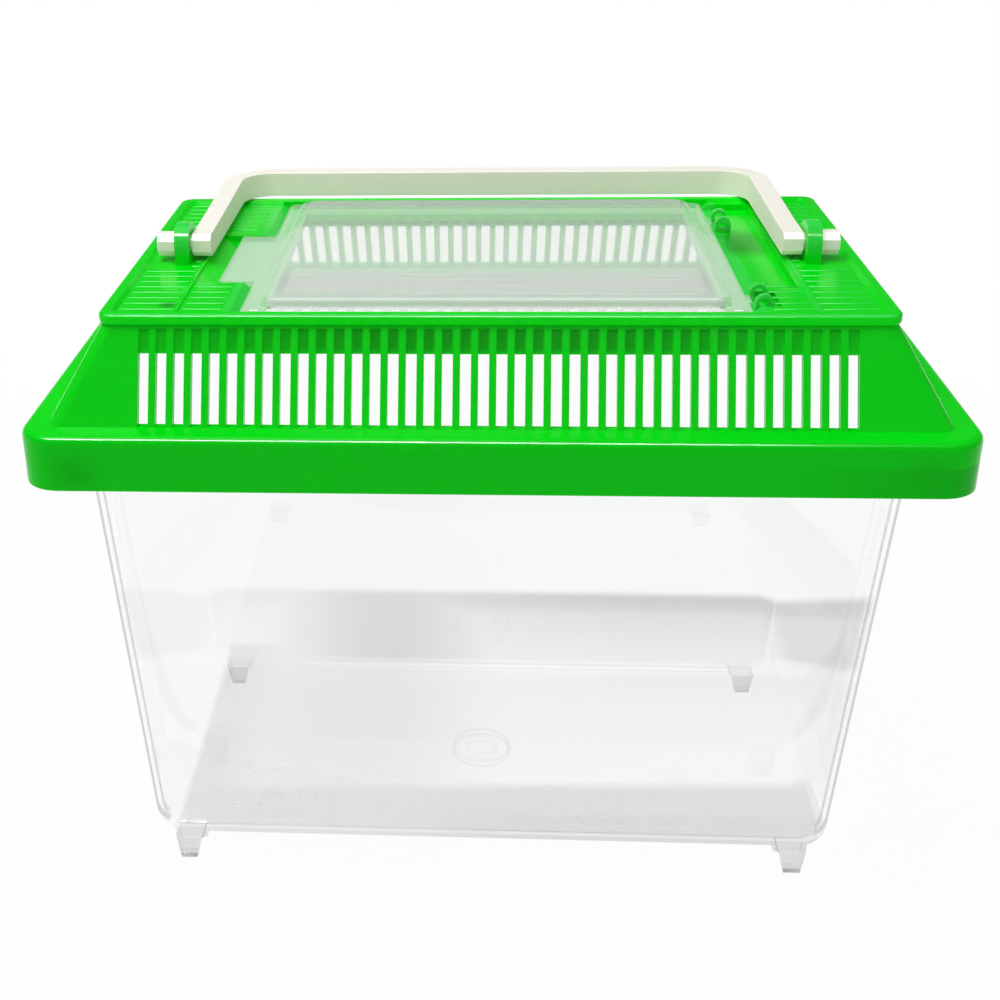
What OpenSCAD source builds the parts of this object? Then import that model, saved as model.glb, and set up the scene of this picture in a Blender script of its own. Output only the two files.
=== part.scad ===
// Plastic pet keeper: a clear tapered tank with feet, a vented snap-on lid,
// a clear hinged trap door in the lid and a folding carry handle.
// Millimetres, +Z up, +X along the long side, -Y is the front.
// Origin: middle of the footprint, on the plane of the foot bottoms.

/* [Tank] */
// Outside length of the tank at its floor
tank_base_w = 195; // [180:0.5:205]
// Outside depth of the tank at its floor
tank_base_d = 104; // [92:0.5:112]
// How far the rim stands out beyond each end wall of the tank
rim_reach = 6.75; // [5.5:0.05:13.5]
// Outside depth of the tank just under the rim
tank_top_d = 117.6; // [108:0.2:121]
// Thickness of the tank walls and floor
tank_wall = 1.8; // [1.2:0.1:2.6]
// Height of the tank floor's underside above the table
foot_h = 8.5; // [4:0.5:12]
// Height of the tank from the underside of its floor to the rim
tank_h = 135.2; // [110:0.1:170]
// Radius of the tank's upright corners at the floor
tank_corner = 9; // [8:0.5:12]
// Radius between the floor and the walls, outside
floor_edge_r = 6; // [3:0.5:7]
// How far the turned-down rim stands out below the lid
rim_hem = 6.5; // [4:0.5:8]
// Width of a foot along X where it leaves the floor
foot_w = 8.5; // [6:0.5:11]
// Depth of a foot along Y where it leaves the floor
foot_d = 8; // [6:0.5:11]
// Distance of a foot's toe from the end wall of the tank
foot_in_x = 7; // [3:0.5:9]
// Distance of a foot's toe from the front or back wall of the tank
foot_in_y = 2.2; // [2:0.2:8]

/* [Lid] */
// Outside length of the lid's skirt
skirt_w = 231; // [225:0.5:240]
// Outside depth of the lid's skirt
skirt_d = 149; // [144:0.5:158]
// Height of the skirt
skirt_h = 14; // [11:0.5:18]
// Radius of the skirt's upright corners
skirt_corner = 10; // [8:0.5:14]
// Outside length of the sloping walls where they meet the skirt
slope_base_w = 217.8; // [213:0.2:220]
// Outside depth of the sloping walls where they meet the skirt
slope_base_d = 135.4; // [131:0.2:139]
// Height from the skirt's ledge to the top of the deck
slope_h = 25; // [22:0.5:34]
// Outside length of the deck
deck_w = 192.8; // [188:0.2:200]
// Outside depth of the deck
deck_d = 114; // [112:0.5:118]
// Wall thickness of the lid
lid_wall = 2; // [1.6:0.1:2.4]
// Height of the rolled lip around the deck
lip_h = 2.8; // [2:0.2:4]
// Width of the raised border around the deck
border_w = 3.2; // [2.6:0.2:4.2]
// Depth of the deck's surface below its border
deck_drop = 1; // [0.6:0.1:1.4]

/* [Vent slots] */
// Number of slots in the front and in the back wall
slots_long = 40; // [30:1:40]
// Number of slots in each side wall
slots_side = 21; // [12:1:22]
// Distance from one slot to the next
slot_pitch = 4.35; // [4:0.05:4.4]
// Width of one slot
slot_w = 2.6; // [1.6:0.1:2.8]
// Height of the slots
slot_h = 15.8; // [10:0.2:17]
// Depth of the groove that runs from a slot up to the lip
slot_groove = 0.6; // [0.4:0.1:1.4]

/* [Trap door] */
// Distance from each end of the deck to the door's flange
door_end_room = 34.4; // [33.4:0.2:40.4]
// Clearance between the door's flange and the deck's border, front and back
door_gap = 0.8; // [0.6:0.1:4.8]
// Thickness of the door
door_t = 1.5; // [1.2:0.1:1.8]
// Width of the flat flange around the raised middle
door_flange = 4; // [3:0.25:6]
// Height of the raised middle over the flange
dome_h = 2.5; // [1.5:0.1:4]
// Depth of the door's seat below the deck
seat_drop = 1.8; // [1.8:0.1:2.2]
// Reach of the finger tab beyond the flange
tab_reach = 9.3; // [6:0.1:10]
// Length of the finger tab along Y
tab_len = 43; // [30:1:46]
// Middle of the tab and of the hinge pair along Y
door_mid_y = -5; // [-6:0.5:0]
// Distance from that middle to each hinge
hinge_half = 36; // [32:0.5:38]
// Radius of the door's hinge pins
door_pin_r = 1.2; // [1:0.1:1.4]

/* [Handle] */
// Distance from each end of the deck to the outer face of the handle's arm
handle_inset = 15.1; // [14.9:0.1:15.9]
// Distance from the deck's back edge to the grip bar when folded back
grip_gap = 1; // [0.5:0.1:7]
// Width of the arms across X
arm_w = 5.3; // [4:0.1:5.6]
// Thickness of the arms at the pivot
arm_t = 6; // [5:0.2:6.4]
// Height of the grip bar when folded back
grip_h = 7.1; // [6.5:0.1:9]
// Thickness of the grip bar along Y when folded back
grip_t = 6; // [5:0.2:7]
// Outside radius of the bends between arms and grip
bend_r = 15; // [10:0.5:20]
// Position of the pivot along Y
pivot_y = -6; // [-8:0.5:-4]
// Height of the pivot above the deck's border
pivot_up = 3.4; // [3.2:0.1:4]
// Radius of the pins that run in the lugs
handle_pin_r = 2.3; // [1.8:0.1:2.6]
// Thickness of the lugs along X
lug_t = 3.8; // [3:0.2:4.2]

/* [Hidden] */
// How far the door leaf sits from its seat, and parts from each other
gap = 0.3;
// Radial play of the pins in their bores
play = 0.08;
// Facets per quarter turn in the skinned corners
corner_steps = 10;
eps = 0.02;
$fn = 64;

rim_z = foot_h + tank_h;
ledge_under = rim_z + gap;
ledge_z = ledge_under + lid_wall;
skirt_z = ledge_z - skirt_h;
deck_z = ledge_z + slope_h;
deck_floor = deck_z - deck_drop;
seat_z = deck_floor - seat_drop;
cavity_top = seat_z - lid_wall;
slope_z = deck_z - lip_h;
slope_corner = 4;
slot_up = 0.1;
groove_room = 0.8;
lip_r = 0.8;
slope_top_w = deck_w - 2 * lip_r;
slope_top_d = deck_d - 2 * lip_r;
deck_corner = 4;
skirt_draft = 0.1;
skirt_edge = 2;
lid_air = 2;
rim_w = skirt_w - 2 * lid_wall - 2 * lid_air;
tank_top_w = rim_w - 2 * rim_reach;
rim_d = skirt_d - 2 * lid_wall - 2 * lid_air;
rim_corner = skirt_corner - lid_wall - lid_air;
rim_edge = 0.6;
well_w = deck_w - 2 * border_w;
well_d = deck_d - 2 * border_w;

door_w = deck_w - 2 * door_end_room;
door_d = well_d - 2 * door_gap;
dome_w = door_w - 2 * door_flange;
dome_d = door_d - 2 * door_flange;
dome_corner = 5;
dome_draft = 0.3;
dome_edge = 1.2;
door_corner = 3;
door_z = seat_z + gap;
hinge_x = door_w / 2 + 3.5;
hinge_z = door_z + 1.9;
barrel_r = door_pin_r + 0.5;
barrel_len = 6;
post_t = 2;
post_w = 2 * door_pin_r + 2;
hinge_pocket = barrel_len + 2 * (gap + post_t + 0.7);
pocket_reach = hinge_x - door_w / 2 + post_w / 2 + 2.3;
notch_reach = tab_reach + 1;
notch_len = tab_len + 2;
scoop = 5;
recess_front = -32;
seat_bevel = 2;

pivot_z = deck_z + pivot_up;
handle_w = deck_w - 2 * handle_inset;
handle_reach = deck_d / 2 + grip_gap + grip_t - pivot_y;
arm_out = handle_w / 2;
arm_in = arm_out - arm_w;
lug_in = arm_out + gap + 0.1;
stub_in = lug_in + lug_t + gap;
stub_len = 4.9;
stub_r = arm_t / 2 + 0.35;
lug_r = handle_pin_r + 3.5;
ridge_x = arm_in + 1.4;
ridge_w = 0.8;
ridge_h = 0.4;

// One level ring of a rounded rectangle, counterclockwise from above
function ring(w, d, r, z) = [
    for (c = [0:3], k = [0:corner_steps])
        let (
            a = 90 * (c + k / corner_steps),
            sx = (c == 0 || c == 3) ? 1 : -1,
            sy = (c < 2) ? 1 : -1
        )
        [sx * (w / 2 - r) + r * cos(a), sy * (d / 2 - r) + r * sin(a), z]
];

// Solid skinned over rings given from the bottom up as [w, d, r, z]
module skin(levels) {
    n = 4 * (corner_steps + 1);
    last = len(levels) - 1;
    points = [for (l = levels) each ring(l[0], l[1], l[2], l[3])];
    sides = [
        for (i = [0:last - 1], j = [0:n - 1])
            let (k = (j + 1) % n)
            [i * n + j, (i + 1) * n + j, (i + 1) * n + k, i * n + k]
    ];
    base = [for (j = [0:n - 1]) j];
    top = [for (j = [n - 1:-1:0]) last * n + j];
    polyhedron(points, concat([base], sides, [top]), convexity = 4);
}

// Rings that round an outline over to its top at z, with edge radius e
function top_edge(w, d, r, z, e) = [
    for (k = [0:3])
        let (i = e * (1 - cos(30 * k)))
        [w - 2 * i, d - 2 * i, r - i, z - e + e * sin(30 * k)]
];

// Rings that round an outline out from its underside at z, with edge radius e
function under_edge(w, d, r, z, e) = [
    for (k = [0:3])
        let (i = e * (1 - sin(30 * k)))
        [w - 2 * i, d - 2 * i, r - i, z + e * (1 - cos(30 * k))]
];

// Tank section at height z above its floor's underside, moved in by inset
function tank_level(z, inset, r) =
    let (t = z / tank_h)
    [
        tank_base_w + (tank_top_w - tank_base_w) * t - 2 * inset,
        tank_base_d + (tank_top_d - tank_base_d) * t - 2 * inset,
        r,
        foot_h + z
    ];

// The rounded edge between floor and walls, of radius r, inset from outside
function floor_edge(r, inset, corner, z0) = [
    for (k = [0:4])
        let (a = 90 * k / 5)
        tank_level(z0 + r * (1 - cos(a)), inset + r * (1 - sin(a)),
            corner - r * (1 - sin(a)))
];

// Side view of a foot: a leaning outer side and a curved flare on the inside
module foot_profile(width) {
    flare = 2.4;
    toe = 0.55 * width;
    lean = 1;
    difference() {
        polygon([
            [0, 0],
            [toe, 0],
            [width - flare, foot_h - flare],
            [width, foot_h - flare],
            [width, foot_h + 3],
            [-lean, foot_h + 3],
            [-lean, foot_h]
        ]);
        translate([width, foot_h - flare]) circle(r = flare);
    }
}

// One foot at the front left, kept inside the rounded corner of the tank
module foot() {
    edge = 1.2;
    root = 4;
    intersection() {
        translate([foot_in_x - tank_base_w / 2, 2 * foot_d, 0])
            rotate([90, 0, 0]) linear_extrude(tank_base_d) foot_profile(foot_w);
        translate([-tank_base_w, foot_in_y - tank_base_d / 2, 0])
            rotate([90, 0, 90]) linear_extrude(tank_base_w) foot_profile(foot_d);
        skin([
            [tank_base_w - 2 * edge, tank_base_d - 2 * edge, tank_corner - edge, -1],
            [tank_base_w - 2 * edge, tank_base_d - 2 * edge, tank_corner - edge, foot_h + root]
        ]);
    }
}

module tank_body() {
    inner_r = floor_edge_r - 1;
    inner_corner = tank_corner - tank_wall;
    hem_top = tank_h - tank_wall;
    difference() {
        union() {
            skin(concat(
                floor_edge(floor_edge_r, 0, tank_corner, 0),
                [
                    tank_level(floor_edge_r, 0, tank_corner),
                    tank_level(tank_h - eps, 0, tank_corner)
                ]
            ));
            for (mx = [0, 1], my = [0, 1])
                mirror([mx, 0, 0]) mirror([0, my, 0]) foot();
            difference() {
                skin(concat(
                    [[rim_w, rim_d, rim_corner, rim_z - rim_hem]],
                    top_edge(rim_w, rim_d, rim_corner, rim_z, rim_edge)
                ));
                skin([
                    [rim_w - 2 * tank_wall, rim_d - 2 * tank_wall,
                        rim_corner - tank_wall, rim_z - rim_hem - 1],
                    [rim_w - 2 * tank_wall, rim_d - 2 * tank_wall,
                        rim_corner - tank_wall, foot_h + hem_top]
                ]);
            }
        }
        skin(concat(
            floor_edge(inner_r, tank_wall, inner_corner, tank_wall),
            [
                tank_level(tank_wall + inner_r, tank_wall, inner_corner),
                tank_level(tank_h + 1, tank_wall, inner_corner)
            ]
        ));
    }
}

module tank() {
    color([0.93, 0.96, 0.96, 0.35]) tank_body();
}

// The lid's outside, from the skirt's bottom edge to the rolled deck lip
module lid_outside() {
    skin(concat(
        [[skirt_w, skirt_d, skirt_corner, skirt_z]],
        top_edge(skirt_w - 2 * skirt_draft, skirt_d - 2 * skirt_draft,
            skirt_corner - skirt_draft, ledge_z, skirt_edge),
        [[slope_base_w, slope_base_d, slope_corner, ledge_z + eps]],
        under_edge(deck_w, deck_d, deck_corner, slope_z, lip_r),
        top_edge(deck_w, deck_d, deck_corner, deck_z, lip_r)
    ));
}

// The hollow under the lid: inside the skirt, then inside the sloping walls
module lid_inside() {
    slant = 0.2;
    inset = 2 * (lid_wall + slant);
    rise = (cavity_top - ledge_z) / (slope_z - ledge_z);
    shrink_w = (slope_base_w - slope_top_w) * rise;
    shrink_d = (slope_base_d - slope_top_d) * rise;
    inner_w = skirt_w - 2 * lid_wall;
    inner_d = skirt_d - 2 * lid_wall;
    inner_corner = skirt_corner - lid_wall;
    low_corner = slope_corner - lid_wall + 0.4;
    high_corner = 1.6;
    union() {
        skin([
            [inner_w, inner_d, inner_corner, skirt_z - 1],
            [inner_w - 2 * skirt_draft, inner_d - 2 * skirt_draft,
                inner_corner - skirt_draft, ledge_under]
        ]);
        skin([
            [slope_base_w - inset, slope_base_d - inset, low_corner, ledge_under - 1],
            [slope_base_w - inset, slope_base_d - inset, low_corner, ledge_z],
            [slope_base_w - inset - shrink_w, slope_base_d - inset - shrink_d,
                high_corner, cavity_top]
        ]);
    }
}

// Cut for a pair of facing slots and the grooves above them, drawn through the
// sloping walls that stand base apart at the ledge and top apart at the lip
module slot_pair(base, top) {
    slot_z = ledge_z + slot_up;
    slot_top = slot_z + slot_h;
    groove_top = slope_z - groove_room;
    lean = (base - top) / 2 / (slope_z - ledge_z);
    low = base / 2 - lean * (slot_top - ledge_z) - slot_groove;
    high = base / 2 - lean * (groove_top - ledge_z) - slot_groove;
    rotate([90, 0, 0]) translate([0, 0, -slot_w / 2]) linear_extrude(slot_w)
        polygon([
            [-base, slot_z],
            [base, slot_z],
            [base, groove_top],
            [high, groove_top],
            [low, slot_top],
            [-low, slot_top],
            [-high, groove_top],
            [-base, groove_top]
        ]);
}

module vent_slots() {
    for (i = [0:slots_long - 1])
        translate([(i - (slots_long - 1) / 2) * slot_pitch, 0, 0])
            rotate([0, 0, 90]) slot_pair(slope_base_d, slope_top_d);
    for (i = [0:slots_side - 1])
        translate([0, (i - (slots_side - 1) / 2) * slot_pitch, 0])
            slot_pair(slope_base_w, slope_top_w);
}

// Door seat with bevelled sides, the hole under the door, the finger notch
// with its scoop, and the lowered strip and pocket for the hinges
module door_seat() {
    seat_w = door_w + 1;
    high = deck_drop + seat_drop + 1;
    rotate([90, 0, 0]) translate([0, 0, -well_d / 2]) linear_extrude(well_d)
        polygon([
            [-seat_w / 2, seat_z],
            [seat_w / 2, seat_z],
            [seat_w / 2 + seat_bevel, deck_floor],
            [seat_w / 2 + seat_bevel, deck_floor + high],
            [-seat_w / 2 - seat_bevel, deck_floor + high],
            [-seat_w / 2 - seat_bevel, deck_floor]
        ]);
    translate([-dome_w / 2 + door_t, -dome_d / 2 + door_t, cavity_top - 1])
        cube([dome_w - 2 * door_t, dome_d - 2 * door_t, lid_wall + 2]);
    translate([0, door_mid_y + notch_len / 2, 0]) rotate([90, 0, 0])
        linear_extrude(notch_len)
            polygon([
                [-seat_w / 2 - notch_reach - scoop, deck_floor],
                [-seat_w / 2 - notch_reach, seat_z],
                [0, seat_z],
                [0, deck_floor + high],
                [-seat_w / 2 - notch_reach - scoop, deck_floor + high]
            ]);
    translate([seat_w / 2 - 1, recess_front, seat_z])
        cube([arm_in - seat_w / 2 + 1, well_d / 2 - recess_front - 3, high]);
    translate([seat_w / 2 - 1, door_mid_y - hinge_half - hinge_pocket / 2, seat_z])
        cube([pocket_reach, hinge_pocket, high]);
}

// Pair of eyes that hold one hinge barrel of the door
module hinge_posts() {
    for (s = [-1, 1])
        translate([hinge_x, s * (barrel_len / 2 + gap + post_t / 2), 0])
            difference() {
                union() {
                    translate([-post_w / 2, -post_t / 2, seat_z - eps])
                        cube([post_w, post_t, hinge_z - seat_z + eps]);
                    translate([0, post_t / 2, hinge_z]) rotate([90, 0, 0])
                        cylinder(r = post_w / 2, h = post_t);
                }
                translate([0, post_t, hinge_z]) rotate([90, 0, 0])
                    cylinder(r = door_pin_r + play, h = 2 * post_t);
            }
}

// Round-topped eye on the deck that a handle pin runs in
module lug() {
    difference() {
        union() {
            translate([lug_in, pivot_y, pivot_z]) rotate([0, 90, 0])
                cylinder(r = lug_r, h = lug_t);
            translate([lug_in, pivot_y - lug_r, deck_floor - eps])
                cube([lug_t, 2 * lug_r, pivot_z - deck_floor + eps]);
        }
        translate([lug_in - 1, pivot_y, pivot_z]) rotate([0, 90, 0])
            cylinder(r = handle_pin_r + play, h = lug_t + 2);
    }
}

module lid() {
    well_corner = 2;
    well_draft = 0.6;
    well_edge = 0.4;
    pocket_x = arm_in + lid_wall;
    pocket_room = 2;
    pocket_end = 1;
    color([0.05, 0.78, 0.16]) {
        difference() {
            lid_outside();
            lid_inside();
            vent_slots();
            skin([
                [well_w - 2 * well_draft, well_d - 2 * well_draft, well_corner, deck_floor],
                [well_w, well_d, well_corner, deck_z - well_edge],
                [well_w + 4 * well_edge, well_d + 4 * well_edge,
                    well_corner + well_edge, deck_z + well_edge]
            ]);
            door_seat();
            for (s = [0, 1]) mirror([s, 0, 0])
                translate([pocket_x, -well_d / 2 + pocket_room, cavity_top - 1])
                    cube([well_w / 2 - pocket_x - pocket_end, well_d - 2 * pocket_room,
                        deck_floor - lid_wall - cavity_top + 1]);
        }
        for (s = [0, 1]) mirror([s, 0, 0]) {
            lug();
            translate([ridge_x, -well_d / 2 + 0.4, deck_floor - eps])
                cube([ridge_w, well_d - 0.8, ridge_h + eps]);
        }
        for (s = [-1, 1])
            translate([0, door_mid_y + s * hinge_half, 0]) hinge_posts();
    }
}

module trap_door() {
    inner_w = dome_w - 2 * door_t;
    inner_d = dome_d - 2 * door_t;
    inner_corner = dome_corner - door_t;
    inner_edge = 0.6;
    color([0.9, 0.95, 0.92, 0.4]) {
        difference() {
            union() {
                skin([
                    [door_w, door_d, door_corner, door_z],
                    [door_w, door_d, door_corner, door_z + door_t]
                ]);
                skin(concat(
                    [[dome_w, dome_d, dome_corner, door_z + door_t - eps]],
                    top_edge(dome_w - 2 * dome_draft, dome_d - 2 * dome_draft,
                        dome_corner - dome_draft, door_z + door_t + dome_h, dome_edge)
                ));
                translate([-door_w / 2 - tab_reach, door_mid_y - tab_len / 2, door_z])
                    cube([tab_reach + 2, tab_len, door_t]);
            }
            skin(concat(
                [[inner_w, inner_d, inner_corner, door_z - 1]],
                top_edge(inner_w - 2 * dome_draft, inner_d - 2 * dome_draft,
                    inner_corner - dome_draft, door_z + dome_h, inner_edge)
            ));
        }
        for (s = [-1, 1])
            translate([0, door_mid_y + s * hinge_half, 0]) {
                translate([door_w / 2 - 1, -barrel_len / 2, door_z])
                    cube([hinge_x - door_w / 2 + 1, barrel_len, door_t]);
                translate([hinge_x, barrel_len / 2, hinge_z]) rotate([90, 0, 0])
                    cylinder(r = barrel_r, h = barrel_len);
                translate([hinge_x, barrel_len / 2 + gap + post_t, hinge_z]) rotate([90, 0, 0])
                    cylinder(r = door_pin_r, h = barrel_len + 2 * (gap + post_t));
            }
    }
}

// Plan of the folded handle: two arms and a grip bar with rounded bends
module handle_plan() {
    length = handle_reach + arm_t / 2;
    inner_r = bend_r - (arm_w + grip_t) / 2;
    difference() {
        union() {
            translate([-handle_w / 2, -arm_t / 2]) square([handle_w, length - bend_r]);
            translate([-handle_w / 2 + bend_r, handle_reach - bend_r - 1])
                square([handle_w - 2 * bend_r, bend_r + 1]);
            for (s = [-1, 1])
                translate([s * (handle_w / 2 - bend_r), handle_reach - bend_r]) circle(r = bend_r);
        }
        difference() {
            translate([-handle_w / 2 + arm_w, -arm_t])
                square([handle_w - 2 * arm_w, handle_reach + arm_t - grip_t]);
            for (s = [-1, 1])
                translate([s * (handle_w / 2 - arm_w - inner_r), handle_reach - grip_t - inner_r])
                    difference() {
                        translate([(s - 1) / 2 * inner_r, 0]) square(inner_r);
                        circle(r = inner_r);
                    }
        }
    }
}

// Side view of the handle: octagonal at the pivot, rising to the grip bar
module handle_side() {
    half = arm_t / 2;
    cham = 1.4;
    flat = 8;
    grip_top = grip_h - half;
    polygon([
        [-half, -half + cham],
        [-half + cham, -half],
        [handle_reach, -half],
        [handle_reach, grip_top],
        [handle_reach - bend_r, grip_top],
        [half + flat, half],
        [-half + cham, half],
        [-half, half - cham]
    ]);
}

module handle() {
    color([0.96, 0.94, 0.88]) translate([0, pivot_y, pivot_z]) {
        intersection() {
            translate([0, 0, -grip_h]) linear_extrude(2 * grip_h) handle_plan();
            rotate([90, 0, 90]) translate([0, 0, -handle_w]) linear_extrude(2 * handle_w)
                handle_side();
        }
        for (s = [0, 1]) mirror([s, 0, 0]) {
            translate([arm_out - 1, 0, 0]) rotate([0, 90, 0])
                cylinder(r = handle_pin_r, h = stub_in - arm_out + 1.5);
            translate([stub_in, 0, 0]) rotate([0, 90, 0]) rotate([0, 0, 22.5])
                cylinder(r = stub_r, h = stub_len, $fn = 8);
        }
    }
}

tank();
lid();
trap_door();
handle();
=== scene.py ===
import math

import bmesh
import bpy
from mathutils import Matrix, Vector


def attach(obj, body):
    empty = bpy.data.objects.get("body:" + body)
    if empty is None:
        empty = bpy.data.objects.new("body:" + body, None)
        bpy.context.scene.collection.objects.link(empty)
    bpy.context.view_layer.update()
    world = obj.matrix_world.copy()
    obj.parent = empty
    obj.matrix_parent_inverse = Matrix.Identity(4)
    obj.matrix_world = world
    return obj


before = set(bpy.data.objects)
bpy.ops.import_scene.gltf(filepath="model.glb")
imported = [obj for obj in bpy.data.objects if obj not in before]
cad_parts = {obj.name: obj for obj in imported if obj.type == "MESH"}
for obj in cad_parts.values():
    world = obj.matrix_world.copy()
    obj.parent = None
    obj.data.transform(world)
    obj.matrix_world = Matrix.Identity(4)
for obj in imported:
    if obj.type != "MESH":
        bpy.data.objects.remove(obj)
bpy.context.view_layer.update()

# The tank is one thin-walled tub of clear polystyrene, moulded in a single
# shot through a round gate in the middle of its floor. Its walls lean out so
# that it leaves the mould, and a turned-down rim stiffens the top.
TANK_IOR = 1.57
TANK_BUMP = 0.08
TANK_STRAIGHT = 0.84


class Signal:
    """One output socket of a finish, so that shader maths reads as maths."""

    def __init__(self, finish, socket):
        self.finish = finish
        self.socket = socket

    def maths(self, operation, a, b):
        return self.finish.node("Math", {"operation": operation}, {0: a, 1: b})

    def __add__(self, other):
        return self.maths("ADD", self, other)

    def __radd__(self, other):
        return self.maths("ADD", other, self)

    def __sub__(self, other):
        return self.maths("SUBTRACT", self, other)

    def __rsub__(self, other):
        return self.maths("SUBTRACT", other, self)

    def __mul__(self, other):
        return self.maths("MULTIPLY", self, other)

    def __rmul__(self, other):
        return self.maths("MULTIPLY", other, self)

    def __pow__(self, other):
        return self.maths("POWER", self, other)

    def __abs__(self):
        return self.maths("ABSOLUTE", self, 0)

    def __or__(self, other):
        return self.maths("MAXIMUM", self, other)

    def __ror__(self, other):
        return self.maths("MAXIMUM", other, self)


class Finish:
    """A material, with one method that adds any node to it."""

    def __init__(self, name, tree=None):
        if tree is None:
            self.material = bpy.data.materials.new(name)
            self.material.use_nodes = True
            tree = self.material.node_tree
        self.tree = tree
        self.tree.nodes.clear()

    def node(self, kind, settings=None, inputs=None, output=0):
        made = self.tree.nodes.new("ShaderNode" + kind)
        for name, value in (settings or {}).items():
            setattr(made, name, value)
        for key, value in (inputs or {}).items():
            if isinstance(value, Signal):
                self.tree.links.new(value.socket, made.inputs[key])
            else:
                made.inputs[key].default_value = value
        return Signal(self, made.outputs[output]) if made.outputs else None

    def place(self):
        """Object coordinates as three signals, in metres."""
        where = self.node("TexCoord", output="Object")
        return [self.node("SeparateXYZ", None, {"Vector": where}, axis) for axis in "XYZ"]

    def above(self, value, edge, soft):
        """0 below the edge and 1 above it, with a soft step."""
        return self.node(
            "MapRange", {"interpolation_type": "SMOOTHSTEP"},
            {"Value": value, "From Min": edge - soft, "From Max": edge + soft},
        )

    def below(self, value, edge, soft):
        """1 below the edge and 0 above it, with a soft step."""
        return 1 - self.above(value, edge, soft)

    def band(self, value, low, high, soft):
        """1 where value lies between low and high, with soft edges."""
        return self.above(value, low, soft) * self.below(value, high, soft)

    def reach(self, x, y, centre):
        """How far a point lies from centre, seen from above."""
        off_x = x - centre[0]
        off_y = y - centre[1]
        return (off_x * off_x + off_y * off_y) ** 0.5

    def from_line(self, along, pitch):
        """How far a point lies from the nearest line of a row at this pitch."""
        return self.node("Math", {"operation": "PINGPONG"}, {0: along, 1: pitch / 2})

    def noise(self, size, detail=2.0, stretch=(1, 1, 1)):
        """Cloudy noise from 0 to 1 whose blobs are about size metres."""
        where = self.node("TexCoord", output="Object")
        scale = tuple(along / size for along in stretch)
        spread = self.node("Mapping", None, {"Vector": where, "Scale": scale})
        return self.node(
            "TexNoise", None, {"Vector": spread, "Scale": 1.0, "Detail": detail}
        )

    def blend(self, share, low, high):
        """A colour that goes from low to high as share goes from 0 to 1."""
        return self.node("Mix", {"data_type": "RGBA"}, {0: share, 6: low, 7: high}, 2)

    def show(self, shader):
        self.node("OutputMaterial", None, {0: shader})
        return self.material


def dress(piece, material):
    piece.data.materials.clear()
    piece.data.materials.append(material)


WELD_GAP = 2e-6
FLAT_ANGLE = math.radians(0.4)
SHARP_ANGLE = math.radians(32)
EDGE_STEPS = 2


def soften(piece, radius):
    """Joins a moulded node's faces and rounds its sharp edges slightly."""
    for layer in ("custom_normal", "sharp_edge"):
        if layer in piece.data.attributes:
            piece.data.attributes.remove(piece.data.attributes[layer])
    piece.data.shade_smooth()
    weld = piece.modifiers.new("weld", "WELD")
    weld.merge_threshold = WELD_GAP
    flat = piece.modifiers.new("flatten", "DECIMATE")
    flat.decimate_type = "DISSOLVE"
    flat.angle_limit = FLAT_ANGLE
    edge = piece.modifiers.new("edge", "BEVEL")
    edge.width = radius
    edge.segments = EDGE_STEPS
    edge.limit_method = "ANGLE"
    edge.angle_limit = SHARP_ANGLE
    even = piece.modifiers.new("even", "WEIGHTED_NORMAL")
    even.weight = 100


# How clear plastic tints the light that goes straight on, how grey its painted
# shade and how milky its painted sheen and highlights can look, and how rough
# its faintly cloudy skin is.
UNBENT_TINT = (0.985, 0.99, 0.987, 1)
VEIL_TINT = (0.60, 0.607, 0.60, 1)
VEIL_STRENGTH = 1.375
PAINTED_LIGHT_COLOUR = (0.80, 0.86, 0.80, 1)
CLEAR_ROUGHNESS, CLOUD_ROUGHNESS = 0.004, 0.008
CLEAR_CLOUD_SIZE = 0.03
CLEAR_BUMP_HEIGHT = 0.001
SHEEN_FACING = (0.1, 0.6)
SHEEN_SQUARE_ON = 0.1


def clear_plastic(name, tint, ior, relief, strength, marks, straight, sheen_strength=0.0):
    """Clear moulded plastic.

    marks gives four masks: where it is thick, where a highlight is painted on,
    where it looks grey, mostly by painted shade, and where it stays free of the
    painted sheen. straight is the share of the light that passes thin walls
    unbent, and the last argument how strong a milky painted sheen, standing for
    reflection, gets at a low angle.
    """
    finish = Finish(name)
    cloud = finish.noise(CLEAR_CLOUD_SIZE)
    thick, painted_highlight, grey_and_painted_shade, free = marks(finish)
    bumped = finish.node("Bump", None, {
        "Strength": strength, "Distance": CLEAR_BUMP_HEIGHT, "Height": relief(finish),
    })
    glass = finish.node("BsdfPrincipled", None, {
        "Base Color": tint(finish, cloud),
        "Roughness": CLEAR_ROUGHNESS + CLOUD_ROUGHNESS * cloud,
        "IOR": ior,
        "Transmission Weight": 1.0,
        "Normal": bumped,
    })
    through = finish.node("BsdfTransparent", None, {"Color": UNBENT_TINT})
    veil = finish.node("BsdfTransparent", None, {"Color": VEIL_TINT})
    painted_light_milk = finish.node("BsdfDiffuse", None, {"Color": PAINTED_LIGHT_COLOUR})
    shadow = finish.node("LightPath", output="Is Shadow Ray")
    scattered = finish.node("LightPath", output="Is Diffuse Ray")
    plain = shadow | scattered
    facing = finish.node("LayerWeight", None, {"Blend": 0.5}, "Facing")
    low_angle_sheen = finish.node("MapRange", {"interpolation_type": "SMOOTHSTEP"}, {
        "Value": facing, "From Min": SHEEN_FACING[0], "From Max": SHEEN_FACING[1],
        "To Min": SHEEN_SQUARE_ON * sheen_strength, "To Max": sheen_strength,
    })
    # Painted shade is a grey veil; painted highlights and the painted sheen at a low angle are
    # a white milk.
    unbent = plain | straight * (1 - thick)
    veiled = VEIL_STRENGTH * grey_and_painted_shade * (1 - plain)
    painted_light_share = (painted_highlight | low_angle_sheen * (1 - free)) * (1 - plain)
    body = finish.node("MixShader", None, {0: unbent, 1: glass, 2: through})
    body = finish.node("MixShader", None, {0: veiled, 1: body, 2: veil})
    return finish.show(finish.node("MixShader", None, {0: painted_light_share, 1: body, 2: painted_light_milk}))


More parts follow.
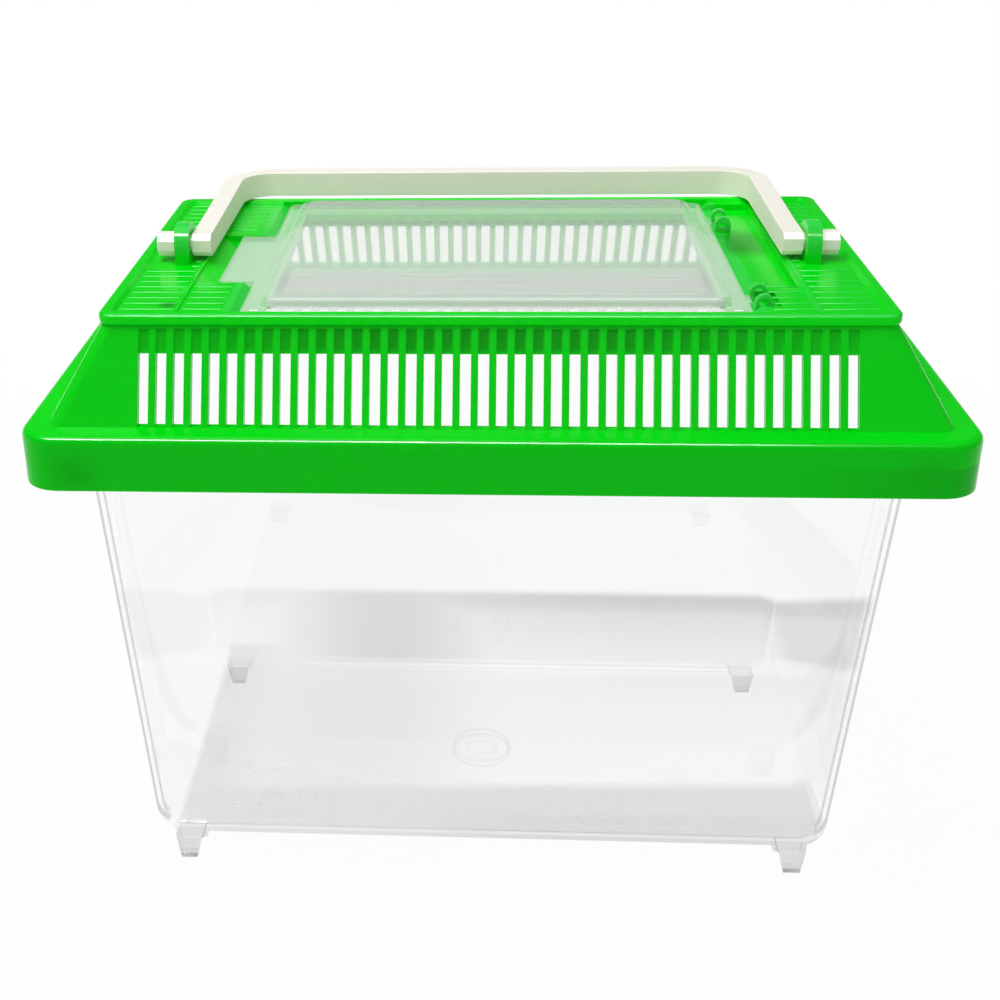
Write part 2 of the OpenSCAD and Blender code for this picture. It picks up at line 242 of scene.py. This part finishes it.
# The gate left a ring and a boss in the middle of the floor. From here on, a
# place on a piece is in metres: (place, softness) for an edge, and
# (from, to, softness) for a strip. What follows it with a grey or a share
# says how strongly it shows.
GATE_XY = (-0.0018, -0.004)
GATE_RING = (0.0080, 0.0096, 0.0009)
GATE_RING_SHADE = (0.0081, 0.0095, 0.0007)
GATE_BOSS = (0.0045, 0.0012)
GATE_BOSS_SHADE = (0.0042, 0.0054, 0.0006)
OVER_FLOOR = (0.013, 0.0005)
RING_RISE, BOSS_RISE, WAVE_RISE = 0.25, 0.1, 0.25
BOSS_GREY = 0.6


def tank_relief(finish):
    x, y, z = finish.place()
    reach = finish.reach(x, y, GATE_XY)
    ring = finish.band(reach, *GATE_RING)
    boss = finish.below(reach, *GATE_BOSS)
    low = finish.below(z, *OVER_FLOOR)
    waves = finish.noise(size=0.05, detail=1.0, stretch=(1, 1, 0.35))
    return (RING_RISE * ring + BOSS_RISE * boss) * low + WAVE_RISE * waves


def gate_shade(finish, x, y, z):
    reach = finish.reach(x, y, GATE_XY)
    ring = finish.band(reach, *GATE_RING_SHADE)
    boss = finish.band(reach, *GATE_BOSS_SHADE)
    return (ring | BOSS_GREY * boss) * finish.below(z, *OVER_FLOOR)


# Painted shade greys the floor along its front and towards its left end, where
# it turns up into the wall, and a fine line of painted shade follows its back edge.
FLOOR_SKIN = (0.0083, 0.013, 0.0002)
FLOOR_LEFT = (-0.0915, 0.0010)
FLOOR_FRONT = (-0.0243, 0.0022)
FRONT_SLANT = 0.037
LEFT_HALF = (-0.012, 0.025)
LEFT_END = (-0.078, 0.008)
CORNER_X, CORNER_Y = (-0.0905, -0.0815, 0.0008), (0.0405, 0.0440, 0.0008)
CORNER_TAIL_X, CORNER_TAIL_Y = (-0.0905, -0.0880, 0.0008), (0.0240, 0.0440, 0.0040)
BACK_EDGE_X, BACK_EDGE_Y = (0.0890, 0.0005), (0.0446, 0.0452, 0.0003)
LEFT_GREY, LEFT_END_GREY, FRONT_GREY, FRONT_LEFT_DROP = 0.12, 0.06, 0.27, 0.06
EDGE_GREY = 0.25


def painted_floor_shade(finish, x, y):
    left_half = finish.below(x, *LEFT_HALF)
    front = finish.below(y - FRONT_SLANT * x, *FLOOR_FRONT)
    left = LEFT_GREY * left_half + LEFT_END_GREY * finish.below(x, *LEFT_END)
    shade = left | (FRONT_GREY - FRONT_LEFT_DROP * left_half) * front
    corner = finish.band(x, *CORNER_X) * finish.band(y, *CORNER_Y)
    tail = finish.band(x, *CORNER_TAIL_X) * finish.band(y, *CORNER_TAIL_Y)
    back_edge = finish.band(y, *BACK_EDGE_Y) * finish.below(abs(x), *BACK_EDGE_X)
    edges = EDGE_GREY * ((corner | tail) | back_edge)
    return shade * finish.above(x, *FLOOR_LEFT) | edges


# Painted shade greys the rear wall low down, most of all along the top of the
# shade and towards the right.
REAR_WALL = (0.047, 0.0005)
REAR_TOP = (0.0345, 0.0015)
REAR_PEAK = (0.0285, 0.003)
REAR_RIGHT = (-0.02, 0.08)
REAR_LEFT = (-0.064, -0.004, 0.030)
REAR_FADE = {"From Min": 0.010, "From Max": 0.034, "To Min": 0.35, "To Max": 1.0}
REAR_GREY, REAR_RIGHT_GREY, REAR_LEFT_GREY, PEAK_SHARE = 0.08, 0.28, 0.34, 0.4


def painted_rear_shade(finish, x, y, z):
    fade = finish.node("MapRange", None, {"Value": z, **REAR_FADE})
    strip = REAR_GREY + REAR_RIGHT_GREY * finish.above(x, *REAR_RIGHT)
    strip = strip * (fade + PEAK_SHARE * finish.above(z, *REAR_PEAK))
    shade = strip | REAR_LEFT_GREY * finish.band(x, *REAR_LEFT)
    return shade * finish.above(y, *REAR_WALL) * finish.below(z, *REAR_TOP)


# Along the end walls the painted shade slopes down towards the back, and it
# stops behind the front corners.
FLOOR_Z = 0.0085
END_LEAN, FRONT_LEAN = 0.0536, 0.0503
FRONT_FACE_Y = 0.0520
END_OUTSIDE = (0.0968, 0.0004)
RIGHT_HALF = (0.0, 0.01)
SHADE_SLOPE = 0.58
SIDE_STRIP = (0.040, 0.0625, 0.002)
SIDE_STRIP_TOP = (0.0565, 0.0625, 0.002)
UNDER_STRIP_TOP = (0.0625, 0.002)
PAST_CORNER = (0.0112, 0.0012)
SIDE_GREY, SIDE_RIGHT_GREY, RIGHT_GREY, RIGHT_TOP_GREY = 0.08, 0.14, 0.07, 0.13


def painted_side_shade(finish, x, level, turn):
    right = finish.above(x, *RIGHT_HALF)
    strip = (SIDE_GREY + SIDE_RIGHT_GREY * right) * finish.band(level, *SIDE_STRIP)
    lower = RIGHT_GREY * finish.below(level, *UNDER_STRIP_TOP)
    top = RIGHT_TOP_GREY * finish.band(level, *SIDE_STRIP_TOP)
    shade = strip + (lower + top) * right
    outside = finish.above(abs(x), *END_OUTSIDE)
    return shade * outside * finish.above(turn, *PAST_CORNER)


# The feet are solid and denser, a painted shade draws a grey outline along the
# front corners, and the floor, the end walls and the rim let all light straight on.
FOOT_TOP, FOOT_TINT_TOP = (0.0080, 0.0003), (0.0088, 0.0008)
END_WALL = (0.0946, 0.0004)
RIM = (0.1360, 0.0005)
OUTLINE, OUTLINE_X = (0.0072, 0.0100, 0.0006), (0.0945, 0.0005)
FOOT_GREY, GATE_GREY, OUTLINE_GREY = 0.16, 0.16, 0.62
THIN_SHARE = 0.2
GATE_TINT_SHARE = 0.8
CLEAR, CLEAR_CLOUD = (0.985, 0.993, 0.988, 1), (0.97, 0.98, 0.973, 1)
DENSE = (0.84, 0.85, 0.84, 1)


def tank_marks(finish):
    x, y, z = finish.place()
    foot = finish.below(z, *FOOT_TOP)
    floor = finish.band(z, *FLOOR_SKIN)
    height = z - FLOOR_Z
    turn = y + FRONT_FACE_Y + FRONT_LEAN * height
    painted_outline = finish.band(turn, *OUTLINE) * finish.above(abs(x), *OUTLINE_X)
    grey_and_painted_shade = FOOT_GREY * foot | GATE_GREY * gate_shade(finish, x, y, z)
    grey_and_painted_shade = grey_and_painted_shade | OUTLINE_GREY * painted_outline
    grey_and_painted_shade = grey_and_painted_shade | floor * painted_floor_shade(finish, x, y)
    grey_and_painted_shade = grey_and_painted_shade | painted_rear_shade(finish, x, y, z)
    grey_and_painted_shade = grey_and_painted_shade | painted_side_shade(finish, x, z + SHADE_SLOPE * y, turn)
    end_wall = finish.above(abs(x) - END_LEAN * height, *END_WALL)
    thin = (floor | end_wall | finish.above(z, *RIM)) * (1 - foot)
    painted_highlight = free = 0
    return foot - THIN_SHARE * thin, painted_highlight, grey_and_painted_shade, free


def tank_tint(finish, cloud):
    x, y, z = finish.place()
    clear = finish.blend(cloud, CLEAR, CLEAR_CLOUD)
    gate = GATE_TINT_SHARE * gate_shade(finish, x, y, z)
    return finish.blend(finish.below(z, *FOOT_TINT_TOP) | gate, clear, DENSE)


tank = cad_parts["tank"]
soften(tank, 0.0003)
dress(tank, clear_plastic(
    "clear_polystyrene_tank", tank_tint, TANK_IOR, tank_relief, TANK_BUMP,
    tank_marks, TANK_STRAIGHT,
))

# The lid is moulded in vivid green polypropylene, thin enough to glow a
# little where light comes through. Its walls are slotted all round, and the
# flat strips beside the trap door carry fine grip ribs and moulding marks.
# The lid's own green comes first; the others are painted light and shade: a shade green, a
# paler green for painted glow, the ribs' paler green for a painted highlight and a lit green
# for painted light.
GREEN = (0.0, 0.74, 0.006, 1)
SHADE_GREEN = (0.0, 0.26, 0.0, 1)
GLOW_GREEN = (0.08, 0.74, 0.16, 1)
RIB_HIGHLIGHT_GREEN = (0.01, 0.82, 0.05, 1)
LIT_GREEN = (0.0, 0.99, 0.008, 1)
POLYPROPYLENE_IOR = 1.49
SLOT_PITCH = 0.00435

# Shallow grooves run from the slots up to the deck's lip, darkened by painted shade, most in
# the middle.
GROOVE = (0.0012, 0.0005)
GROOVE_Z = (0.1622, 0.1672, 0.0014)
LONG_WALL_Y, LONG_WALL_X = (0.0545, 0.066, 0.0003), (0.0862, 0.0005)
END_WALL_X, END_WALL_Y = (0.093, 0.105, 0.0003), (0.0450, 0.0005)
MIDDLE = (0.055, 0.03)
GROOVE_SHARE, MIDDLE_GROOVE_SHARE = 0.3, 0.4


def groove_shade(finish, x, y, z):
    wide, deep = abs(x), abs(y)
    long_wall = finish.band(deep, *LONG_WALL_Y) * finish.below(wide, *LONG_WALL_X)
    end_wall = finish.band(wide, *END_WALL_X) * finish.below(deep, *END_WALL_Y)
    along_x = finish.from_line(x - SLOT_PITCH / 2, SLOT_PITCH)
    along_y = finish.from_line(y, SLOT_PITCH)
    groove = finish.below(along_x, *GROOVE) * long_wall
    groove = (groove | finish.below(along_y, *GROOVE) * end_wall) * finish.band(z, *GROOVE_Z)
    return groove * (GROOVE_SHARE + MIDDLE_GROOVE_SHARE * finish.below(wide, *MIDDLE))


# Painted light makes the deck's lip the brightest. A painted glow, where light
# would come through thin parts, and painted highlights make paler: the tops of
# the lugs, the seat beside the door, the deck's border, the ridge at the right
# and the posts that hold the hinge.
LIP_Z, LIP_IN_X, LIP_IN_Y = (0.1684, 0.1707, 0.0004), (0.0955, 0.0004), (0.0560, 0.0004)
DECK_SKIN, DECK_Y = (0.1672, 0.1704, 0.0002), (0.0545, 0.0002)
LUG_X, LUG_TOP = (0.0812, 0.0858, 0.0003), (0.1735, 0.002)
SEAT_X, SEAT_Y = (0.0624, 0.0664, 0.0008), (0.0525, 0.0005)
BORDER_Z, BORDER_Y = (0.1706, 0.1712, 0.0002), (0.0560, 0.0575, 0.0003)
RIDGE_X = (0.0771, 0.0785, 0.0002)
POST_X, POST_Z = (0.0628, 0.0692, 0.0003), (0.1686, 0.0002)
POST_Y, HINGE_MIDDLE_Y = (0.0302, 0.0418, 0.0003), -0.005
LIP_SHARE, LUG_SHARE, SEAT_SHARE, BORDER_SHARE = 0.9, 0.4, 0.35, 0.6
RIDGE_SHARE, POST_SHARE = 0.4, 0.45


def painted_lip_light(finish, x, y, z):
    inside = finish.below(abs(x), *LIP_IN_X) * finish.below(abs(y), *LIP_IN_Y)
    return LIP_SHARE * finish.band(z, *LIP_Z) * (1 - inside)


def painted_glow_and_highlights(finish, x, y, z, on_deck):
    wide, deep = abs(x), abs(y)
    lug_top = finish.band(wide, *LUG_X) * finish.above(z, *LUG_TOP)
    seat = finish.band(wide, *SEAT_X) * finish.below(deep, *SEAT_Y) * on_deck
    border = finish.band(z, *BORDER_Z) * finish.band(deep, *BORDER_Y)
    ridge = finish.band(x, *RIDGE_X) * on_deck
    post = finish.band(x, *POST_X) * finish.band(abs(y - HINGE_MIDDLE_Y), *POST_Y)
    post = post * finish.above(z, *POST_Z)
    painted_pale = LUG_SHARE * lug_top | SEAT_SHARE * seat
    return (painted_pale | BORDER_SHARE * border) | (RIDGE_SHARE * ridge | POST_SHARE * post)


# Painted shade darkens a patch on the deck, the skirt's corners and its right
# end, and a small dimple on the deck is darker too.
DIMPLE_XY, DIMPLE = (-0.0808, -0.0462), (0.0020, 0.0012)
PATCH_X, PATCH_Y = (0.064, 0.0745, 0.003), (0.004, 0.026, 0.006)
CORNER_WIDE, CORNER_DEEP = (0.097, 0.105, 0.006), (0.072, 0.001)
CORNER_Z = (0.1335, 0.1405, 0.005)
RIGHT_END, SKIRT_TOP = (0.090, 0.025), (0.1395, 0.0003)
PATCH_SHARE, CORNER_SHARE, END_SHARE = 0.75, 0.4, 0.32


def shade_and_dimple(finish, x, y, z, on_deck):
    dimple = finish.below(finish.reach(x, y, DIMPLE_XY), *DIMPLE)
    patch = finish.band(x, *PATCH_X) * finish.band(y, *PATCH_Y)
    corner = finish.band(abs(x), *CORNER_WIDE) * finish.band(z, *CORNER_Z)
    corner = corner * finish.above(abs(y), *CORNER_DEEP)
    right_end = finish.above(x, *RIGHT_END) * finish.below(z, *SKIRT_TOP)
    deep = PATCH_SHARE * (dimple | patch) * on_deck
    return deep | (CORNER_SHARE * corner | END_SHARE * right_end)


# The green that the lid casts on the other pieces is muted, as their clear and
# ivory plastic takes up little of it.
CAST_COLOUR, CAST_SHARE = (0.55, 0.55, 0.42, 1), 0.4


def green_plastic(name, colour, roughness):
    finish = Finish(name)
    x, y, z = finish.place()
    cloud = finish.noise(size=0.02, detail=3.0)
    on_deck = finish.band(z, *DECK_SKIN) * finish.below(abs(y), *DECK_Y)
    base = finish.blend(groove_shade(finish, x, y, z), colour, SHADE_GREEN)
    base = finish.blend(painted_lip_light(finish, x, y, z), base, LIT_GREEN)
    base = finish.blend(painted_glow_and_highlights(finish, x, y, z, on_deck), base, GLOW_GREEN)
    base = finish.blend(shade_and_dimple(finish, x, y, z, on_deck), base, SHADE_GREEN)
    grain = finish.noise(size=0.0006)
    bumped = finish.node("Bump", None, {
        "Strength": 0.06, "Distance": 0.0002, "Height": grain + 2 * cloud,
    })
    scattered = finish.node("LightPath", output="Is Diffuse Ray")
    body = finish.node("BsdfPrincipled", None, {
        "Base Color": finish.blend(CAST_SHARE * scattered, base, CAST_COLOUR),
        "Roughness": roughness + 0.06 * cloud,
        "IOR": POLYPROPYLENE_IOR,
        "Specular IOR Level": 0.10,
        "Subsurface Weight": 0.2,
        "Subsurface Radius": (0.2, 1.0, 0.2),
        "Subsurface Scale": 0.002,
        "Normal": bumped,
    })
    return finish.show(body)


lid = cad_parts["lid"]
soften(lid, 0.00035)
dress(lid, green_plastic("vivid_green_polypropylene", GREEN, 0.13))

# Fine grip ribs on the strips beside the trap door. They stop short of the
# lugs, and the inner rows leave room for the finger notch.
DECK_Z = 0.170
RIB_COUNT = 23
RIB_FIRST_Y = -0.0492
RIB_PITCH = 0.00455
RIB_WIDTH = 0.0008
RIB_HEIGHT = 0.0002
RIB_SUNK = 0.0001
RIB_TAPER = 0.0005
RIB_TIP = 0.25
RIB_SIDES = 6
OUTER_ROW = (0.0785, 0.0924)
INNER_ROW = (0.0667, 0.0768)
LUG_Y = (-0.0135, 0.0015)
LUG_INSIDE_X = 0.0812
INNER_FRONT_Y = -0.0290
INNER_REAR_Y = 0.021


def rib_bars(name, spans):
    """Low rounded bars along X, one for each (x0, x1, y) in spans."""
    mesh = bmesh.new()
    turns = [math.pi * k / RIB_SIDES for k in range(RIB_SIDES + 1)]
    arc = [(math.cos(turn), math.sin(turn)) for turn in turns]
    for x0, x1, y in spans:
        places = (
            (x0, RIB_TIP), (x0 + RIB_TAPER, 1.0), (x1 - RIB_TAPER, 1.0), (x1, RIB_TIP)
        )
        rows = []
        for x, scale in places:
            half = RIB_WIDTH / 2 * scale
            high = (RIB_HEIGHT + RIB_SUNK) * scale
            rows.append([
                mesh.verts.new((x, y + half * c, DECK_Z - RIB_SUNK + high * s)) for c, s in arc
            ])
        for a, b in zip(rows, rows[1:]):
            for k in range(RIB_SIDES):
                mesh.faces.new((a[k], b[k], b[k + 1], a[k + 1]))
            mesh.faces.new((a[0], a[-1], b[-1], b[0]))
        mesh.faces.new(rows[0])
        mesh.faces.new(rows[-1][::-1])
    bmesh.ops.recalc_face_normals(mesh, faces=mesh.faces)
    data = bpy.data.meshes.new(name)
    mesh.to_mesh(data)
    mesh.free()
    data.shade_smooth()
    piece = bpy.data.objects.new(name, data)
    bpy.context.scene.collection.objects.link(piece)
    return piece


spans = []
for k in range(RIB_COUNT):
    y = RIB_FIRST_Y + k * RIB_PITCH
    inner, outer = OUTER_ROW
    if LUG_Y[0] < y < LUG_Y[1]:
        outer = LUG_INSIDE_X
    spans += [(-outer, -inner, y), (inner, outer, y)]
    inner, outer = INNER_ROW
    if y < INNER_FRONT_Y:
        spans += [(-outer, -inner, y), (inner, outer, y)]
    if y > INNER_REAR_Y:
        spans.append((-outer, -inner, y))
grip_ribs = rib_bars("deck_grip_ribs", spans)
# The ribs get a paler green, a painted highlight along each rib.
dress(grip_ribs, green_plastic("rib_highlight_green_polypropylene", RIB_HIGHLIGHT_GREEN, 0.32))
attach(grip_ribs, "lid")

# The trap door is a second clear moulding. Its middle is raised over a flat
# flange, a tab at the left takes a fingertip, and two barrels at the right
# turn between eyes on the lid.
DOOR_IOR = 1.58
DOOR_BUMP = 0.05
DOOR_STRAIGHT = 0.95
DOOR_SHEEN = 0.38
CRISP = 0.0002
RAISED = (0.1704, CRISP)
DOME_X = 0.058
DOME_Y = 0.049
DOME_SIDE = (DOME_X - 0.0010, DOME_X + 0.0003, CRISP)
DOME_LINE = (DOME_X - 0.0022, DOME_X - 0.0017, CRISP)
DOME_END = (DOME_Y - 0.0012, DOME_Y - 0.0001, CRISP)
FLANGE_SIDE = (0.0605, 0.0612, CRISP)
SIDES_Y = (0.0500, 0.0010)
DASH = (0.0011, 0.0003)
DASH_Y = (-DOME_Y - 0.0016, -DOME_Y - 0.0006, CRISP)
STREAK_Y = (-0.0412, -0.0352, -0.0300, -0.0262)
STREAK_X = (0.052, 0.004)
STREAK_WANDER = 0.0060
STREAK_BREAKS = (0.45, 0.10)
SHEEN_X, SHEEN_Y = (0.0540, 0.0030), (-0.0480, -0.0190, 0.0070)
BARREL = (0.0630, CRISP)
FAR_PART = (0.0180, 0.0060)
DOME_SHARE, FLANGE_SHARE, STREAK_SHARE, SHEEN_SHARE = 0.6, 0.4, 0.8, 0.48
LINE_GREY, FLANGE_GREY, FAR_GREY, FAR_SHARE = 0.3, 0.14, 0.2, 0.4
BARREL_SHARE = 0.06
DOOR_CLEAR, DOOR_CLOUD = (0.97, 0.99, 0.975, 1), (0.955, 0.975, 0.96, 1)


def door_relief(finish):
    return 0.5 * finish.noise(size=0.03, stretch=(0.25, 1, 1))


def painted_streak_lines(finish, y):
    """Four broken painted highlight lines that wander along the front of the raised middle."""
    wander = y + STREAK_WANDER * finish.noise(size=0.02, stretch=(0.5, 0.15, 0.05))
    highlight_streaks = 0
    for place in STREAK_Y:
        highlight_streaks = highlight_streaks | finish.band(wander, place - CRISP, place + CRISP, CRISP)
    breaks = finish.noise(size=0.02, detail=1.0, stretch=(0.6, 4, 1))
    return highlight_streaks * finish.above(breaks, *STREAK_BREAKS)


# Painted highlights run along the raised middle's sides and ends, in dashes along its front
# edge and in wandering streaks, and a painted sheen lies on its front, all standing for
# reflections; painted shade greys a line inside the raised middle's sides, the flange and the
# back part.
def door_marks(finish):
    x, y, z = finish.place()
    wide, deep = abs(x), abs(y)
    raised = finish.above(z, *RAISED)
    flat = 1 - raised
    dome_side = DOME_SHARE * finish.band(wide, *DOME_SIDE) * raised
    flange_side = FLANGE_SHARE * finish.band(wide, *FLANGE_SIDE) * flat
    sides = (dome_side | flange_side) * finish.below(deep, *SIDES_Y)
    ends = finish.band(deep, *DOME_END) * raised
    highlight_dashes = finish.below(finish.from_line(x - SLOT_PITCH / 2, SLOT_PITCH), *DASH)
    highlight_dashes = highlight_dashes * finish.band(y, *DASH_Y)
    highlight_streaks = STREAK_SHARE * painted_streak_lines(finish, y) * finish.below(wide, *STREAK_X) * raised
    painted_sheen = SHEEN_SHARE * finish.band(y, *SHEEN_Y) * finish.below(wide, *SHEEN_X) * raised
    painted_highlight = ((sides | ends) | (highlight_dashes | highlight_streaks)) | painted_sheen
    shade_line = finish.band(wide, *DOME_LINE) * raised
    barrel = finish.above(x, *BARREL)
    far_part = FAR_SHARE * finish.above(y, *FAR_PART)
    grey_and_painted_shade = (LINE_GREY * shade_line | FLANGE_GREY * flat) | FAR_GREY * far_part
    plate = 1 - barrel
    return -BARREL_SHARE * barrel, painted_highlight * plate, grey_and_painted_shade * plate, barrel | far_part


def door_tint(finish, cloud):
    return finish.blend(cloud, DOOR_CLEAR, DOOR_CLOUD)


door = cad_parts["trap_door"]
soften(door, 0.00025)
dress(door, clear_plastic(
    "clear_polystyrene_door", door_tint, DOOR_IOR, door_relief, DOOR_BUMP,
    door_marks, DOOR_STRAIGHT, DOOR_SHEEN,
))

# The handle is one bar of ivory polypropylene, bent twice, with square-edged
# arms. Its round pins snap into the eyes on the lid, and an eight-sided knob
# outside each eye keeps it from slipping out.
IVORY = (0.94, 0.91, 0.82, 1)
DEEP_IVORY = (0.92, 0.89, 0.79, 1)
CHANNEL_X = (-0.0794, -0.0778, 0.0002)
CHANNEL_Y = (0.0002, 0.046, 0.0003)
CHANNEL_DEPTH = 8


def ivory_plastic(name):
    finish = Finish(name)
    x, y = finish.place()[:2]
    cloud = finish.noise(size=0.015, detail=3.0)
    grain = finish.noise(size=0.0005)
    channel = finish.band(x, *CHANNEL_X) * finish.band(y, *CHANNEL_Y)
    bumped = finish.node("Bump", None, {
        "Strength": 0.08, "Distance": 0.0002,
        "Height": grain + cloud - CHANNEL_DEPTH * channel,
    })
    return finish.show(finish.node("BsdfPrincipled", None, {
        "Base Color": finish.blend(cloud, IVORY, DEEP_IVORY),
        "Roughness": 0.50 + 0.1 * cloud,
        "IOR": POLYPROPYLENE_IOR,
        "Subsurface Weight": 0.25,
        "Subsurface Radius": (1.0, 0.8, 0.5),
        "Subsurface Scale": 0.002,
        "Normal": bumped,
    }))


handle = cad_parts["handle"]
soften(handle, 0.0005)
dress(handle, ivory_plastic("ivory_polypropylene"))

# A plain pale floor, wide enough to fill the view behind the keeper. It shows
# as white paper that keeps the soft shadow of what stands on it.
WHITE = (1, 1, 1, 1)
PAPER_SEEN = (0.9, 0.9, 0.9, 1)
PAPER_LIT = (0.7, 0.7, 0.7, 1)
FLOOR_HALF = 6
FLOOR_GAP = 0.0003
SHADOW_SHARE = 0.05
SHADOW_REACH = (0.32, 0.2)


def straight_rays(finish):
    """Rays from the camera, off a gloss and through the clear plastic."""
    return [
        finish.node("LightPath", output="Is " + kind + " Ray")
        for kind in ("Camera", "Glossy", "Transmission")
    ]


floor_mesh = bmesh.new()
bmesh.ops.create_grid(floor_mesh, x_segments=8, y_segments=8, size=FLOOR_HALF)
floor_data = bpy.data.meshes.new("paper_floor")
floor_mesh.to_mesh(floor_data)
floor_mesh.free()
floor = bpy.data.objects.new("paper_floor", floor_data)
bpy.context.scene.collection.objects.link(floor)
floor.location.z = -FLOOR_GAP
paper = Finish("white_paper")
camera_ray, glossy_ray, passed_ray = straight_rays(paper)
in_view = (camera_ray | glossy_ray) | passed_ray
matt = paper.node("BsdfDiffuse", None, {"Color": paper.blend(in_view, PAPER_LIT, PAPER_SEEN)})
lit = paper.node("Emission", None, {"Color": WHITE, "Strength": 1.0})
floor_x, floor_y = paper.place()[:2]
near = paper.below(paper.reach(floor_x, floor_y, (0, 0)), *SHADOW_REACH)
lit_share = (1 - SHADOW_SHARE * near) * in_view
dress(floor, paper.show(paper.node("MixShader", None, {0: lit_share, 1: matt, 2: lit})))

# Soft studio light: an even white room whose darker cards at the sides and
# the back show only in gloss, one wide lamp over the left, and a narrow strip
# over the front that adds highlights and no other light.
AMBIENT = 0.5
MIRRORED = 0.5
SIDE_CARD_DROP = 0.3
SIDE_CARD_X, SIDE_CARD_TOP = (0.4, 0.15), (0.35, 0.1)
BACK_CARD_DROP = 0.36
BACK_CARD_Y, BACK_CARD_Z = (0.35, 0.15), (0.1, 0.85, 0.1)
world = bpy.data.worlds.new("white_room")
bpy.context.scene.world = world
world.use_nodes = True
world.cycles.sampling_method = "NONE"
room = Finish("white_room", world.node_tree)
camera_ray, glossy_ray, passed_ray = straight_rays(room)
way = room.node("TexCoord", output="Generated")
way_x, way_y, way_z = (
    room.node("SeparateXYZ", None, {"Vector": way}, axis) for axis in "XYZ"
)
side_card = room.above(abs(way_x), *SIDE_CARD_X) * room.below(way_z, *SIDE_CARD_TOP)
back_card = room.above(way_y, *BACK_CARD_Y) * room.band(way_z, *BACK_CARD_Z)
mirrored = MIRRORED - (SIDE_CARD_DROP * side_card | BACK_CARD_DROP * back_card)
seen_white = camera_ray | passed_ray
level = seen_white + (1 - seen_white) * (
    glossy_ray * mirrored + (1 - glossy_ray) * AMBIENT
)
glow = room.node("Background", None, {"Color": WHITE, "Strength": level})
room.node("OutputWorld", None, {"Surface": glow})


def lamp(name, place, target, width, height, watts):
    data = bpy.data.lights.new(name, "AREA")
    data.shape = "RECTANGLE"
    data.size = width
    data.size_y = height
    data.energy = watts
    made = bpy.data.objects.new(name, data)
    made.location = place
    aim = Vector(target) - Vector(place)
    made.rotation_euler = aim.to_track_quat("-Z", "Y").to_euler()
    bpy.context.scene.collection.objects.link(made)
    return made


lamp("key_lamp", (-0.3, -0.05, 1.05), (0, 0, 0.1), 0.7, 0.7, 5.6)
strip = lamp("strip_lamp", (-0.2, -0.45, 0.95), (0, 0, 0.15), 1.0, 0.06, 90.0)
strip.visible_diffuse = False

# The camera looks down at the front from a little right of the middle. Its
# focal length and the middle of its view are in pixels of the square frame.
PIXELS = 1000
FOCAL = 1467.67
CENTRE = (383.27, 516.92)
SENSOR_WIDTH = 36
AZIMUTH, ELEVATION, ROLL = (math.radians(a) for a in (4.39, 26.24, -1.35))
TARGET = Vector((-0.03179, 0.0, 0.08904))
DISTANCE = 0.43881
back = Vector((
    math.sin(AZIMUTH) * math.cos(ELEVATION),
    -math.cos(AZIMUTH) * math.cos(ELEVATION),
    math.sin(ELEVATION),
))
right = Vector((math.cos(AZIMUTH), math.sin(AZIMUTH), 0))
up = back.cross(right)
right, up = (
    math.cos(ROLL) * right + math.sin(ROLL) * up,
    -math.sin(ROLL) * right + math.cos(ROLL) * up,
)
lens = bpy.data.cameras.new("camera")
lens.sensor_width = SENSOR_WIDTH
lens.sensor_fit = "HORIZONTAL"
lens.lens = SENSOR_WIDTH * FOCAL / PIXELS
lens.shift_x = (PIXELS / 2 - CENTRE[0]) / PIXELS
lens.shift_y = (CENTRE[1] - PIXELS / 2) / PIXELS
lens.clip_start = 0.01
camera = bpy.data.objects.new("camera", lens)
spot = TARGET + back * DISTANCE
camera.matrix_world = Matrix((
    (right.x, up.x, back.x, spot.x),
    (right.y, up.y, back.y, spot.y),
    (right.z, up.z, back.z, spot.z),
    (0, 0, 0, 1),
))
bpy.context.scene.collection.objects.link(camera)
bpy.context.scene.camera = camera
bpy.context.scene.view_settings.view_transform = "Standard"
